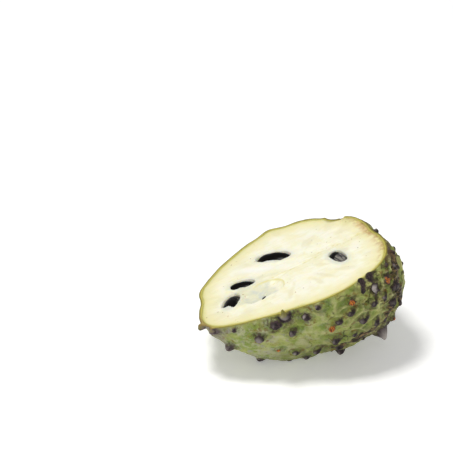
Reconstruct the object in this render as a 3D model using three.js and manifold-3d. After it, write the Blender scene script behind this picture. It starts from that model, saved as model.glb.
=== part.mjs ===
// Half of a custard apple, cut lengthwise through its core and lying on its skin.
// Pieces: the thin green rind with its knobs, the cream flesh, and the five black seeds that the cut lays
// open.
//
// Millimetres. The fruit is drawn in its own frame: +X runs along the core to the stem end, +Y lies across
// the cut face, and +Z stands out of the cut face, which is the plane Z = 0. The half is then tipped as it
// lies at rest.
import * as THREE from "three";
import { mergeVertices } from "three/addons/utils/BufferGeometryUtils.js";
import Module from "manifold-3d";

const wasm = await Module();
wasm.setup();

const RAD = Math.PI / 180;

// The cut face: a mean reach from its middle, and the places where the outline stands out or draws in.
const MEAN_REACH = 44.5;
const OUTLINE_LOBES = [
  { bearing: -166, out: 11, spread: 22 }, // pointed blossom end
  { bearing: -45, out: 5.5, spread: 28 }, // near shoulder of the stem end
  { bearing: -115, out: -2.5, spread: 18 }, // flatter flank on the near side
  { bearing: 20, out: 1.4, spread: 14 }, // rim turned out beside the stem end
  { bearing: 57, out: 1.6, spread: 12 }, // far shoulder of the stem end
  { bearing: 81, out: 2.8, spread: 6.5 }, // knob sliced through on the far side
  { bearing: 115, out: -2, spread: 20 }, // flatter far side
  { bearing: 155, out: 2.6, spread: 11 }, // fuller beside the blossom end
  { bearing: -4, out: -1.2, spread: 7 }, // pit where the stalk was
];

// The rounded back below the cut face.
const DEPTH = 44.3;
const FLANK_POWER = 0.95; // below 1 the flanks stand steeper
const STEM_LEAN = 8.5; // the back swells towards the stem end
const SIDE_LEAN = -2;

// How the half lies: stem end up, far side down, on a small flat spot.
const STEM_LIFT = 16.4 * RAD;
const SIDE_ROLL = -7.55 * RAD;
const FLAT_SPOT_DEPTH = 0.65; // how far the lowest bare skin is pressed flat

const RIND = 1.5; // thickness of the green rind
const SEAM = 0.3; // gap between pieces that touch
const CUT_CLEARANCE = 2; // how far solids run past the cut plane before it trims them

// Knobs: one blunt horn on each carpel, closer together towards the stem end. Each stands on a low mound that
// rises gently from the stem side and falls away past the knob.
const KNOB_HEIGHT = 2.2; // above its mound
const KNOB_ROOT = 3;
const KNOB_SIDES = 6;
const KNOB_SLANT = 0.5; // lean towards the blossom end
const ROOT_SUNK = 1.2;
const MOUND_HEIGHT = 1.4;
const MOUND_REACH = 4.4;
const MOUND_STRETCH = 2; // how much further a mound reaches on its stem side
const WIDE_SPACING = 12; // at the blossom end
const CLOSE_SPACING = 8; // at the stem end
const STEM_SIZE = 0.6; // the knobs at the stem end are lower
const RIM_CLEARANCE = 5; // hidden knobs start this far below the cut
const UNDERSIDE_SLOPE = 50; // beyond this the knobs are short
const UNDERSIDE_SIZE = 0.5;
const KNOB_TRIES = 900;
const KNOB_SEED = 11;

// Knobs on the near flank: bearing round the cut face and slope below it, both in degrees, and size.
const NEAR_KNOBS = [
  [-170, 1, 0.9], [-162, 2, 0.8], [-151, 3, 0.5], [-163, 18, 1], [-160, 37, 0.5], [-144, 14, 0.9],
  [-143, 30, 0.4], [-129, 6, 1.3], [-121, 2, 0.9], [-125, 16, 0.9], [-137, 39, 0.6], [-110, 8, 0.6],
  [-98, 3, 0.8], [-100, 21, 1], [-94, 19, 0.7], [-103, 35, 1], [-105, 62, 1], [-80, 9, 0.8], [-84, 16, 1],
  [-79, 26, 1.1], [-70, 5, 0.9], [-67, 1, 0.5], [-61, 1, 0.5], [-69, 18, 0.9], [-63, 9, 0.9],
  [-61, 19, 0.9], [-53, 10, 0.9], [-47, 3, 0.6], [-71, 35, 0.9], [-51, 18, 0.8], [-43, 8, 0.7],
  [-47, 34, 0.9], [-47, 45, 1.2], [-55, 56, 2.1], [-55, 29, 0.8], [-39, 11, 0.8], [-33, 4, 0.6],
];

// Ridges of the skin where carpels join: places they run through as above, height over the skin and half
// width.
const RIDGES = [
  {
    places: [[-108, 50], [-91, 46], [-75, 45], [-63, 42], [-55, 31], [-48, 20], [-45, 11]],
    rise: 1,
    width: 2.8,
  },
  { places: [[-93, 23], [-84, 23], [-77, 22], [-71, 18]], rise: 0.7, width: 2.4 },
  { places: [[-80, 34], [-75, 31], [-69, 24], [-63, 24], [-57, 23]], rise: 0.7, width: 2.4 },
];
const RIDGE_STEPS = 3; // straight spans between two of those places

// Seeds: the middle of each, the bearing of its long axis, how far that axis dips towards its pointed end,
// how far the flat seed is rolled about it, and size.
const SEED_LENGTH = 17.5;
const SEED_WIDTH = 9.2;
const SEED_THICKNESS = 7;
const SEED_FULLNESS = 0.75; // below 1 the ends are fuller than an egg's
const SEEDS = [
  { name: "seed_1", at: [-1.8, 18.8, -2.9], bearing: -41, dip: 1, roll: 22, scale: 1.1 },
  { name: "seed_2", at: [20.6, -11.4, -3.6], bearing: -84, dip: 3, roll: 68, scale: 1 },
  { name: "seed_3", at: [-24.2, 8.6, -2.8], bearing: -32, dip: 2, roll: 24, scale: 0.86 },
  { name: "seed_4", at: [-35, -2.2, -2.5], bearing: 50, dip: 1, roll: 12, scale: 0.9 },
  { name: "seed_5", at: [-22.6, -12.5, -6], bearing: 62, dip: -10, roll: 0, scale: 0.9 },
];
const POCKET_LOOSENESS = 0.4; // room round a seed in its pocket
const MOUTH_RISE = 0.8; // how far above its seed a pocket opens

// Open hollows in the cut face, where seeds have come out: middle, half axes and bearing.
const HOLLOWS = [
  { at: [-20, -7, 1.2], half: [12, 8.5, 4], bearing: 10 },
  { at: [35.4, 26.4, 1.6], half: [6.5, 4.6, 3], bearing: 124 },
];

const COLOURS = { rind: 0x8d9e58, flesh: 0xf3edcb, seed: 0x16120f };

// A repeatable stream of numbers from 0 to 1.
function numbers(seed) {
  const multiplier = 16807;
  const modulus = 2147483647;
  let state = seed;
  return () => {
    state = (state * multiplier) % modulus;
    return state / modulus;
  };
}

function angleBetween(a, b) {
  return ((((a - b + 180) % 360) + 360) % 360) - 180;
}

function reach(bearing) {
  const lobes = OUTLINE_LOBES.map(
    (lobe) => lobe.out * Math.exp(-((angleBetween(bearing, lobe.bearing) / lobe.spread) ** 2)),
  );
  return lobes.reduce((sum, out) => sum + out, MEAN_REACH);
}

// A point of the bare back, at a bearing round the cut face and a slope from 0 at the cut to 90 at the
// bottom.
function backPoint(bearing, slope, inset = 0) {
  const down = Math.sin(slope * RAD);
  const lean = down * (2 - down);
  const out = (reach(bearing) - inset) * Math.cos(slope * RAD) ** FLANK_POWER;
  return new THREE.Vector3(
    out * Math.cos(bearing * RAD) + STEM_LEAN * lean,
    out * Math.sin(bearing * RAD) + SIDE_LEAN * lean,
    -(DEPTH - inset) * down,
  );
}

function backNormal(bearing, slope) {
  const step = 0.5;
  const s = Math.min(slope, 89);
  const round = backPoint(bearing + step, s).sub(backPoint(bearing - step, s));
  const down = backPoint(bearing, s + step).sub(backPoint(bearing, s - step));
  return down.cross(round).normalize();
}

// Knob places: those in view first, then seeded throws that keep their distance from all the others.
function placeKnobs() {
  const makeKnob = (bearing, slope, size) => ({ bearing, slope, size, foot: backPoint(bearing, slope) });
  const knobs = NEAR_KNOBS.map((knob) => makeKnob(...knob));
  const draw = numbers(KNOB_SEED);
  for (let i = 0; i < KNOB_TRIES; i++) {
    const bearing = draw() * 360 - 180;
    const slope = Math.asin(draw()) / RAD;
    const stemwards = THREE.MathUtils.smoothstep(backPoint(bearing, slope).x, -45, 35);
    const undersideShare = slope > UNDERSIDE_SLOPE ? UNDERSIDE_SIZE : 1;
    const stemShare = THREE.MathUtils.lerp(1, STEM_SIZE, stemwards);
    const knob = makeKnob(bearing, slope, (0.8 + 0.4 * draw()) * Math.min(undersideShare, stemShare));
    const spacing = THREE.MathUtils.lerp(WIDE_SPACING, CLOSE_SPACING, stemwards);
    if (knob.foot.z > -RIM_CLEARANCE) continue;
    if (knobs.every((other) => other.foot.distanceTo(knob.foot) > spacing)) knobs.push(knob);
  }
  return knobs;
}

// Height of the mounds at a place on the back.
function moundHeight(point, knobs) {
  const heights = knobs.map(({ foot, size }) => {
    const away = new THREE.Vector3().subVectors(point, foot);
    if (away.x > 0) away.x /= MOUND_STRETCH;
    return size * Math.exp(-away.lengthSq() / MOUND_REACH ** 2);
  });
  return MOUND_HEIGHT * Math.max(...heights);
}

// A closed mesh as a solid for cutting and joining.
function solid(geometry) {
  const bare = new THREE.BufferGeometry();
  bare.setAttribute("position", geometry.getAttribute("position"));
  if (geometry.index) bare.setIndex(geometry.index);
  const merged = mergeVertices(bare, 1e-4);
  return new wasm.Manifold(
    new wasm.Mesh({
      numProp: 3,
      vertProperties: new Float32Array(merged.attributes.position.array),
      triVerts: new Uint32Array(merged.index.array),
    }),
  );
}

function geometryOf(made) {
  const mesh = made.getMesh();
  const geometry = new THREE.BufferGeometry();
  geometry.setAttribute("position", new THREE.BufferAttribute(new Float32Array(mesh.vertProperties), 3));
  geometry.setIndex(new THREE.BufferAttribute(new Uint32Array(mesh.triVerts), 1));
  geometry.computeVertexNormals();
  return geometry;
}

// The back as a closed bowl: rings of 6, 12, 18 ... points from the bottom to the cut, then a wall and a lid.
function backSolid({ inset, rings, lid, raise = () => 0 }) {
  const points = [];
  const faces = [];
  const at = (k, i) => (k === 0 ? 0 : 1 + 3 * k * (k - 1) + (i % (6 * k)));
  for (let k = 0; k <= rings; k++) {
    const slope = 90 * (1 - k / rings);
    for (let i = 0; i < Math.max(1, 6 * k); i++) {
      const bearing = k ? (360 * i) / (6 * k) : 0;
      const base = backPoint(bearing, slope, inset);
      points.push(base.addScaledVector(backNormal(bearing, slope), raise(base)));
    }
  }
  for (let k = 1; k <= rings; k++)
    for (let sector = 0; sector < 6; sector++)
      for (let j = 0; j < k; j++) {
        const outer = [at(k, sector * k + j), at(k, sector * k + j + 1)];
        const inner = [at(k - 1, sector * (k - 1) + j), at(k - 1, sector * (k - 1) + j + 1)];
        faces.push([outer[1], outer[0], inner[0]]);
        if (j < k - 1) faces.push([outer[1], inner[0], inner[1]]);
      }
  const rim = 6 * rings;
  const top = points.length;
  for (let i = 0; i < rim; i++) points.push(points[at(rings, i)].clone().setZ(lid));
  const middle = points.length;
  points.push(new THREE.Vector3(0, 0, lid));
  for (let i = 0; i < rim; i++) {
    const next = (i + 1) % rim;
    faces.push([at(rings, i), at(rings, next), top + i], [at(rings, next), top + next, top + i]);
    faces.push([top + i, top + next, middle]);
  }
  const geometry = new THREE.BufferGeometry().setFromPoints(points);
  geometry.setIndex(faces.flat());
  return solid(geometry);
}

function boxBetween(low, high) {
  const size = new THREE.Vector3().subVectors(high, low);
  const geometry = new THREE.BoxGeometry(size.x, size.y, size.z);
  return geometry.translate(...new THREE.Vector3().addVectors(low, high).multiplyScalar(0.5).toArray());
}

// One knob: a flared horn with a blunt tip, its root sunk into the rind.
function knobSolid({ bearing, slope, size, foot }) {
  const root = KNOB_ROOT * size ** 0.5;
  const height = (KNOB_HEIGHT + MOUND_HEIGHT) * size;
  const profile = [
    [0, -ROOT_SUNK],
    [root, -ROOT_SUNK],
    [0.66 * root, 0.55 * height],
    [0.45 * root, 0.93 * height],
    [0, height],
  ].map(([radius, up]) => new THREE.Vector2(radius, up));
  const horn = new THREE.LatheGeometry(profile, KNOB_SIDES);
  const axis = backNormal(bearing, slope).add(new THREE.Vector3(-KNOB_SLANT, 0, 0)).normalize();
  horn.applyQuaternion(new THREE.Quaternion().setFromUnitVectors(new THREE.Vector3(0, 1, 0), axis));
  horn.translate(...foot.toArray());
  return solid(horn);
}

// One ridge: low cones along its line, each joined to the next.
function ridgeSolid({ places, rise, width }, raise) {
  const cones = [];
  for (let i = 0; i < (places.length - 1) * RIDGE_STEPS + 1; i++) {
    const from = places[Math.floor(i / RIDGE_STEPS)];
    const to = places[Math.ceil(i / RIDGE_STEPS)];
    const share = (i % RIDGE_STEPS) / RIDGE_STEPS;
    const bearing = THREE.MathUtils.lerp(from[0], to[0], share);
    const slope = THREE.MathUtils.lerp(from[1], to[1], share);
    const foot = backPoint(bearing, slope);
    const normal = backNormal(bearing, slope);
    const cone = new THREE.ConeGeometry(width, rise + ROOT_SUNK, 5);
    cone.translate(0, (rise - ROOT_SUNK) / 2, 0);
    cone.applyQuaternion(new THREE.Quaternion().setFromUnitVectors(new THREE.Vector3(0, 1, 0), normal));
    cones.push(solid(cone.translate(...foot.addScaledVector(normal, raise(foot)).toArray())));
  }
  return wasm.Manifold.union(cones.slice(1).map((cone, i) => wasm.Manifold.hull([cones[i], cone])));
}

// One seed: a flattened bean, drawn out to a blunt point at its stalk end (+X).
function seedGeometry(grow = 0, sides = 14, bands = 9) {
  const bean = new THREE.SphereGeometry(1, sides, bands);
  bean.rotateZ(-Math.PI / 2);
  const p = bean.getAttribute("position");
  for (let i = 0; i < p.count; i++) {
    const x = Math.sign(p.getX(i)) * Math.abs(p.getX(i)) ** SEED_FULLNESS;
    const waist = 1 - 0.28 * Math.max(0, x) ** 1.5;
    p.setXYZ(
      i,
      x * (SEED_LENGTH / 2 + grow),
      p.getY(i) * (SEED_WIDTH / 2 + grow) * waist,
      p.getZ(i) * (SEED_THICKNESS / 2 + grow) * waist,
    );
  }
  return bean;
}

function placeSeed(geometry, { at, bearing, dip, roll, scale }, rise = 0) {
  geometry.scale(scale, scale, scale);
  geometry.rotateX(roll * RAD);
  geometry.rotateY(dip * RAD);
  geometry.rotateZ(bearing * RAD);
  return geometry.translate(at[0], at[1], at[2] + rise);
}

function hollowSolid({ at, half, bearing }) {
  const bowl = new THREE.SphereGeometry(1, 20, 12);
  bowl.scale(...half);
  bowl.rotateZ(bearing * RAD);
  return solid(bowl.translate(...at));
}

const rest = new THREE.Matrix4().makeRotationFromEuler(new THREE.Euler(SIDE_ROLL, -STEM_LIFT, 0, "YXZ"));

// Lowest height of the bare back once the half is tipped, found by a sweep over it.
function lowestSkin() {
  let low = Infinity;
  for (let bearing = 0; bearing < 360; bearing += 3)
    for (let slope = 40; slope <= 90; slope += 1)
      low = Math.min(low, backPoint(bearing, slope).applyMatrix4(rest).z);
  return low;
}

const floorLevel = lowestSkin() + FLAT_SPOT_DEPTH;
const WIDE = 120;
const ground = boxBetween(
  new THREE.Vector3(-WIDE, -WIDE, floorLevel - 40),
  new THREE.Vector3(WIDE, WIDE, floorLevel),
);
ground.applyMatrix4(rest.clone().invert());
const aboveCut = boxBetween(new THREE.Vector3(-WIDE, -WIDE, 0), new THREE.Vector3(WIDE, WIDE, 30));

function makeRind() {
  const knobs = placeKnobs();
  const raise = (point) => moundHeight(point, knobs);
  let rind = backSolid({ inset: 0, rings: 22, lid: CUT_CLEARANCE, raise });
  for (const knob of knobs) rind = rind.add(knobSolid(knob));
  for (const ridge of RIDGES) rind = rind.add(ridgeSolid(ridge, raise));
  rind = rind.subtract(backSolid({ inset: RIND, rings: 13, lid: 2 * CUT_CLEARANCE }));
  for (const hollow of HOLLOWS) rind = rind.subtract(hollowSolid(hollow));
  return geometryOf(rind.subtract(solid(aboveCut)).subtract(solid(ground)));
}

function makeFlesh() {
  let flesh = backSolid({ inset: RIND + SEAM, rings: 13, lid: CUT_CLEARANCE }).subtract(solid(aboveCut));
  for (const hollow of HOLLOWS) flesh = flesh.subtract(hollowSolid(hollow));
  for (const seed of SEEDS) {
    flesh = flesh.subtract(solid(placeSeed(seedGeometry(POCKET_LOOSENESS), seed)));
    flesh = flesh.subtract(solid(placeSeed(seedGeometry(POCKET_LOOSENESS), seed, MOUTH_RISE)));
  }
  return geometryOf(flesh);
}

function mesh(name, geometry, colour, roughness) {
  const finish = new THREE.MeshStandardMaterial({ color: colour, roughness, metalness: 0 });
  const made = new THREE.Mesh(geometry, finish);
  made.name = name;
  return made;
}

const half = new THREE.Group();
half.add(mesh("rind", makeRind(), COLOURS.rind, 0.55));
half.add(mesh("flesh", makeFlesh(), COLOURS.flesh, 0.5));
for (const seed of SEEDS) half.add(mesh(seed.name, placeSeed(seedGeometry(), seed), COLOURS.seed, 0.2));
half.setRotationFromMatrix(rest);

// The origin: on the surface it lies on, under the middle of its box.
half.updateMatrixWorld(true);
const box = new THREE.Box3().setFromObject(half, true);
const centre = box.getCenter(new THREE.Vector3());
half.position.set(-centre.x, -centre.y, -box.min.z);

const fruit = new THREE.Group();
fruit.name = "custard_apple_half";
fruit.add(half);

export default fruit;
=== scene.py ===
# %% [markdown]
# # Half a custard apple
# A ripe custard apple was cut lengthwise, through its stem end and its pointed blossom end, and one half
# lies on its skin. Three things make its look: the cream cut face with shiny black seeds sunk in it, the
# thin line of rind round it, and the grey-green skin with a blunt dark knob on every carpel. The packed
# model gives the places and the sizes. Everything below is finer mesh and finish round it.

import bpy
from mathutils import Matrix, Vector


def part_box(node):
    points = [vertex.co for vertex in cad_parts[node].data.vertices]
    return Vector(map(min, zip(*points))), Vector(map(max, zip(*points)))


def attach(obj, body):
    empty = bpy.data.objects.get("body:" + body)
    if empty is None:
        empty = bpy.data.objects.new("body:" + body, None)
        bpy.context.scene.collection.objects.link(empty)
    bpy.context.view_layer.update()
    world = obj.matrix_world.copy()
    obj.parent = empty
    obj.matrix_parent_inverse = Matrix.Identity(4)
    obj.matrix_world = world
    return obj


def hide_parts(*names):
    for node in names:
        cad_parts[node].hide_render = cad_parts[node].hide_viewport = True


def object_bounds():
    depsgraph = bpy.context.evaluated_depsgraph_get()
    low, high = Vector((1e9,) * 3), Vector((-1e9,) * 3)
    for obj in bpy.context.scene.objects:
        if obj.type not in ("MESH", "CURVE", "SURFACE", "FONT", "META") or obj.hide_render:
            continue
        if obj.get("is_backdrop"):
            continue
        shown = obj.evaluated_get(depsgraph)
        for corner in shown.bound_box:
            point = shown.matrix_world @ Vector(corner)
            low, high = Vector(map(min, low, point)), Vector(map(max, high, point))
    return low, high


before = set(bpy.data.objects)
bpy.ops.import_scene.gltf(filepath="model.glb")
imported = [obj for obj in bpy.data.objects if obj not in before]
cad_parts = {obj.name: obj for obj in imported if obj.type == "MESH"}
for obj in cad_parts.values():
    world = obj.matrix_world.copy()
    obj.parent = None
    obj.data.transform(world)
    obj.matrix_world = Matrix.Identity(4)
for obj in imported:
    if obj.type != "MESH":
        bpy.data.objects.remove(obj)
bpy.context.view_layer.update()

# %% Tools
import math
import time

import bpy
import numpy as np
from mathutils import Vector

MM = 0.001
started = time.time()
print("Blender", bpy.app.version_string)

# %% [markdown]
# ## The fruit's own frame
# The half is drawn as it would lie with its cut face level: x along the core to the stem end, y across
# the face and z out of it, in millimetres. Working there keeps every formula short, because the cut is
# simply z = 0. One turn and one shift then lay it down as it rests. The numbers are those of the solid
# model.

# %% Driving dimensions
MEAN_REACH = 44.5
OUTLINE_LOBES = [  # bearing in degrees, how far it stands out, how wide it is in degrees
    (-166, 11, 22),
    (-45, 5.5, 28),
    (-115, -2.5, 18),
    (20, 1.4, 14),
    (57, 1.6, 12),
    (81, 2.8, 6.5),
    (115, -2, 20),
    (155, 2.6, 11),
    (-4, -1.2, 7),
]
DEPTH = 44.3
FLANK_POWER = 0.95
STEM_LEAN = 8.5
SIDE_LEAN = -2
STEM_LIFT = math.radians(16.4)
SIDE_ROLL = math.radians(-7.55)
RIND = 1.5
HAIRLINE = 0.03  # the rind and the flesh are grown together, so their meshes all but touch

KNOB_HEIGHT = 2.2
KNOB_ROOT = 3
KNOB_SLANT = 0.5
MOUND_HEIGHT = 1.4
MOUND_REACH = 4.4
MOUND_STRETCH = 2
WIDE_SPACING = 12
CLOSE_SPACING = 8
STEM_SIZE = 0.6
RIM_CLEARANCE = 5
UNDERSIDE_SLOPE = 50
UNDERSIDE_SIZE = 0.5
KNOB_TRIES = 900
KNOB_SEED = 11
NEAR_KNOBS = [  # bearing and slope in degrees, and size
    (-170, 1, 0.9), (-162, 2, 0.8), (-151, 3, 0.5), (-163, 18, 1), (-160, 37, 0.5), (-144, 14, 0.9),
    (-143, 30, 0.4), (-129, 6, 1.3), (-121, 2, 0.9), (-125, 16, 0.9), (-137, 39, 0.6), (-110, 8, 0.6),
    (-98, 3, 0.8), (-100, 21, 1), (-94, 19, 0.7), (-103, 35, 1), (-105, 62, 1), (-80, 9, 0.8),
    (-84, 16, 1), (-79, 26, 1.1), (-70, 5, 0.9), (-67, 1, 0.5), (-61, 1, 0.5), (-69, 18, 0.9),
    (-63, 9, 0.9), (-61, 19, 0.9), (-53, 10, 0.9), (-47, 3, 0.6), (-71, 35, 0.9), (-51, 18, 0.8),
    (-43, 8, 0.7), (-47, 34, 0.9), (-47, 45, 1.2), (-55, 56, 2.1), (-55, 29, 0.8), (-39, 11, 0.8),
    (-33, 4, 0.6),
]
RIDGES = [  # the bearings and slopes that each runs through, its height and half width
    ([(-108, 50), (-91, 46), (-75, 45), (-63, 42), (-55, 31), (-48, 20), (-45, 11)], 1.0, 1.9),
    ([(-93, 23), (-84, 23), (-77, 22), (-71, 18)], 0.7, 1.5),
    ([(-80, 34), (-75, 31), (-69, 24), (-63, 24), (-57, 23)], 0.7, 1.5),
]
RIDGE_STEPS = 3

SEED_LENGTH = 17.5
SEED_WIDTH = 9.2
SEED_THICKNESS = 7
SEED_FULLNESS = 0.75
SEED_TAPER = 0.28  # how much narrower it gets towards its pointed end
SEEDS = [
    {"name": "seed_1", "at": (-1.8, 18.8, -2.9), "bearing": -41, "dip": 1, "roll": 22, "scale": 1.1},
    {"name": "seed_2", "at": (20.6, -11.4, -3.6), "bearing": -84, "dip": 3, "roll": 68, "scale": 1},
    {"name": "seed_3", "at": (-24.2, 8.6, -2.8), "bearing": -32, "dip": 2, "roll": 24, "scale": 0.86},
    {"name": "seed_4", "at": (-35, -2.2, -2.5), "bearing": 50, "dip": 1, "roll": 12, "scale": 0.9},
    {"name": "seed_5", "at": (-22.6, -12.5, -6), "bearing": 62, "dip": -10, "roll": 0, "scale": 0.9},
]
MOUTH_RISE = 0.8
HOLLOWS = [  # middle, half axes, bearing in degrees
    {"at": (-20, -7, 1.2), "half": (12, 8.5, 4), "bearing": 10},
    {"at": (35.4, 26.4, 1.6), "half": (6.5, 4.6, 3), "bearing": 124},
]
print(len(NEAR_KNOBS), "knobs placed by hand,", len(RIDGES), "ridges,", len(SEEDS), "seeds")


# %% [markdown]
# ## The bare shape
# The cut outline is a circle with a few smooth lobes added: the pointed blossom end, the shoulders of the
# stem end, and a flatter flank. The back is that outline drawn in towards the bottom as on an egg, and
# leaning a little towards the stem end. A formula is used rather than a sculpted mesh because every later
# step can ask it for a point, at any fineness.

# %% Outline and back
def reach(bearing):
    total = np.full(np.shape(bearing), float(MEAN_REACH))
    for middle, out, spread in OUTLINE_LOBES:
        turn = (bearing - middle + 180) % 360 - 180
        total = total + out * np.exp(-((turn / spread) ** 2))
    return total


def back_point(bearing, slope, inset=0.0):
    """Points of the back, at a bearing round the cut and a slope from 0 at the cut to 90 at the bottom."""
    b = np.radians(bearing)
    down = np.sin(np.radians(slope))
    lean = down * (2 - down)
    out = (reach(bearing) - inset) * np.abs(np.cos(np.radians(slope))) ** FLANK_POWER
    return np.stack(
        [out * np.cos(b) + STEM_LEAN * lean, out * np.sin(b) + SIDE_LEAN * lean, -(DEPTH - inset) * down], -1
    )


around_cut = reach(np.arange(-180.0, 180.0))
print("the cut reaches", around_cut.min().round(1), "to", around_cut.max().round(1), "mm from its middle")


def unit(vectors):
    return vectors / np.linalg.norm(vectors, axis=-1, keepdims=True)


def back_normal(bearing, slope):
    step = 0.5
    s = np.minimum(slope, 89)
    around = back_point(bearing + step, s) - back_point(bearing - step, s)
    down = back_point(bearing, s + step) - back_point(bearing, s - step)
    return unit(np.cross(down, around))


def smooth(value, low, high):
    """0 below low, 1 above high, and a soft rise between."""
    t = np.clip((value - low) / (high - low), 0, 1)
    return t * t * (3 - 2 * t)


# %% Knob places
def numbers(seed):
    """The same repeatable stream of numbers as in the solid model."""
    state = seed
    while True:
        state = state * 16807 % 2147483647
        yield state / 2147483647


def place_knobs():
    places = [(float(b), float(s), float(size)) for b, s, size in NEAR_KNOBS]
    feet = [back_point(np.array(b), np.array(s)) for b, s, size in places]
    draw = numbers(KNOB_SEED)
    for _ in range(KNOB_TRIES):
        bearing = next(draw) * 360 - 180
        slope = math.degrees(math.asin(next(draw)))
        foot = back_point(np.array(bearing), np.array(slope))
        stemwards = smooth(foot[0], -45, 35)
        share = min(UNDERSIDE_SIZE if slope > UNDERSIDE_SLOPE else 1, 1 + (STEM_SIZE - 1) * stemwards)
        size = (0.8 + 0.4 * next(draw)) * share
        spacing = WIDE_SPACING + (CLOSE_SPACING - WIDE_SPACING) * stemwards
        nearest = min(np.linalg.norm(foot - other) for other in feet)
        if foot[2] <= -RIM_CLEARANCE and nearest > spacing:
            places.append((bearing, slope, size))
            feet.append(foot)
    return places, np.array(feet)


knobs, knob_feet = place_knobs()
knob_sizes = np.array([size for bearing, slope, size in knobs])
print(len(knobs), "knobs")


# %% [markdown]
# ## From the fruit's frame to the table
# The turn that lays the half down is known: stem end up, far side down a little. The shift comes from the
# frame. One seed is drawn with the same few points as its solid, so the two boxes must coincide, and what
# is between them is the shift.

# %% Seed form
def seed_points(sides, bands, grow=0.0):
    """A closed bean along x: one tip, rings of points, the other tip. Returns points and faces."""
    points = []
    for band in range(bands + 1):
        polar = math.pi * band / bands
        ring = [0] if band in (0, bands) else range(sides)
        for i in ring:
            turn = 2 * math.pi * i / sides
            x = math.cos(polar)
            x = math.copysign(abs(x) ** SEED_FULLNESS, x)
            waist = 1 - SEED_TAPER * max(0, x) ** 1.5
            y = math.sin(polar) * math.cos(turn) * (SEED_WIDTH / 2 + grow) * waist
            z = math.sin(polar) * math.sin(turn) * (SEED_THICKNESS / 2 + grow) * waist
            points.append((x * (SEED_LENGTH / 2 + grow), y, z))
    last = len(points) - 1
    start = [0] + [1 + sides * band for band in range(bands - 1)]
    faces = []
    for i in range(sides):
        j = (i + 1) % sides
        faces.append((0, 1 + i, 1 + j))
        for band in range(1, bands - 1):
            a, b = start[band], start[band + 1]
            faces.append((a + i, b + i, b + j, a + j))
        faces.append((last, start[-1] + j, start[-1] + i))
    return np.array(points), faces


def turn_about(axis, angle):
    c, s = math.cos(angle), math.sin(angle)
    table = {
        "x": [[1, 0, 0], [0, c, -s], [0, s, c]],
        "y": [[c, 0, s], [0, 1, 0], [-s, 0, c]],
        "z": [[c, -s, 0], [s, c, 0], [0, 0, 1]],
    }
    return np.array(table[axis])


def seed_turn(seed):
    bearing, dip, roll = (math.radians(seed[key]) for key in ("bearing", "dip", "roll"))
    return turn_about("z", bearing) @ turn_about("y", dip) @ turn_about("x", roll)


def place_seed(points, seed):
    return (points * seed["scale"]) @ seed_turn(seed).T + np.array(seed["at"])


print("seed lengths in mm", [round(SEED_LENGTH * seed["scale"], 1) for seed in SEEDS])

# %% Laying the half down
REST = turn_about("y", -STEM_LIFT) @ turn_about("x", SIDE_ROLL)


def find_shift():
    coarse, _ = seed_points(14, 9)
    laid = place_seed(coarse, SEEDS[0]) @ REST.T
    low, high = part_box("seed_1")
    return (np.array(low) + np.array(high)) / 2 / MM - (laid.min(0) + laid.max(0)) / 2


shift = find_shift()
floor_level = -shift[2]
print("shift in mm", shift.round(3))


def laid_down(points):
    """Points of the fruit's frame, in mm, as they lie on the table, in metres."""
    return (points @ REST.T + shift) * MM


# %% [markdown]
# ## Meshes
# Each piece is one closed mesh. The dome and the cut face are both drawn as rings of 6, 12, 18 and more
# points about a middle, which keeps all triangles near one size where a globe's meridians would crowd at
# the pole. Values that the finishes need, such as how near a point is to a knob, are stored on the points
# by name.

# %% Mesh helpers
def ring_start(k):
    return 0 if k == 0 else 1 + 3 * k * (k - 1)


def ring_angles(rings):
    """For each point of the ring mesh: its ring as a share from 0 to 1, and its bearing in degrees."""
    share, bearing = [np.zeros(1)], [np.zeros(1)]
    for k in range(1, rings + 1):
        share.append(np.full(6 * k, k / rings))
        bearing.append(np.arange(6 * k) * 60 / k)
    return np.concatenate(share), np.concatenate(bearing)


def ring_faces(rings, facing_out):
    faces = []
    for k in range(1, rings + 1):
        outer, inner = ring_start(k), ring_start(k - 1)
        around, before = 6 * k, max(1, 6 * (k - 1))
        for sector in range(6):
            for j in range(k):
                a = outer + (sector * k + j) % around
                b = outer + (sector * k + j + 1) % around
                c = inner + (sector * (k - 1) + j) % before
                d = inner + (sector * (k - 1) + j + 1) % before
                faces.append((a, b, c) if facing_out else (b, a, c))
                if j < k - 1:
                    faces.append((b, d, c) if facing_out else (b, c, d))
    return faces


def band_faces(upper, lower, count, flip=False):
    """Triangles between two rings of the same count, which start at these point numbers."""
    faces = []
    for i in range(count):
        j = (i + 1) % count
        pair = [(upper + i, upper + j, lower + i), (upper + j, lower + j, lower + i)]
        faces += [(a, c, b) for a, b, c in pair] if flip else pair
    return faces


def close_back(faces, first, around, rows, flip=False):
    """Joins rows of points below the rim by bands, and the last row to the single point that follows it."""
    for number in range(rows - 1):
        upper = first + number * around
        faces += band_faces(upper, upper + around, around, flip)
    pole = first + rows * around
    for i in range(around):
        a, b = pole - around + i, pole - around + (i + 1) % around
        faces.append((b, a, pole) if flip else (a, b, pole))


def padded(values, count):
    """The values with zeros added for the points that they don't cover."""
    return {key: np.concatenate([value, np.zeros(count - len(value))]) for key, value in values.items()}


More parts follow.
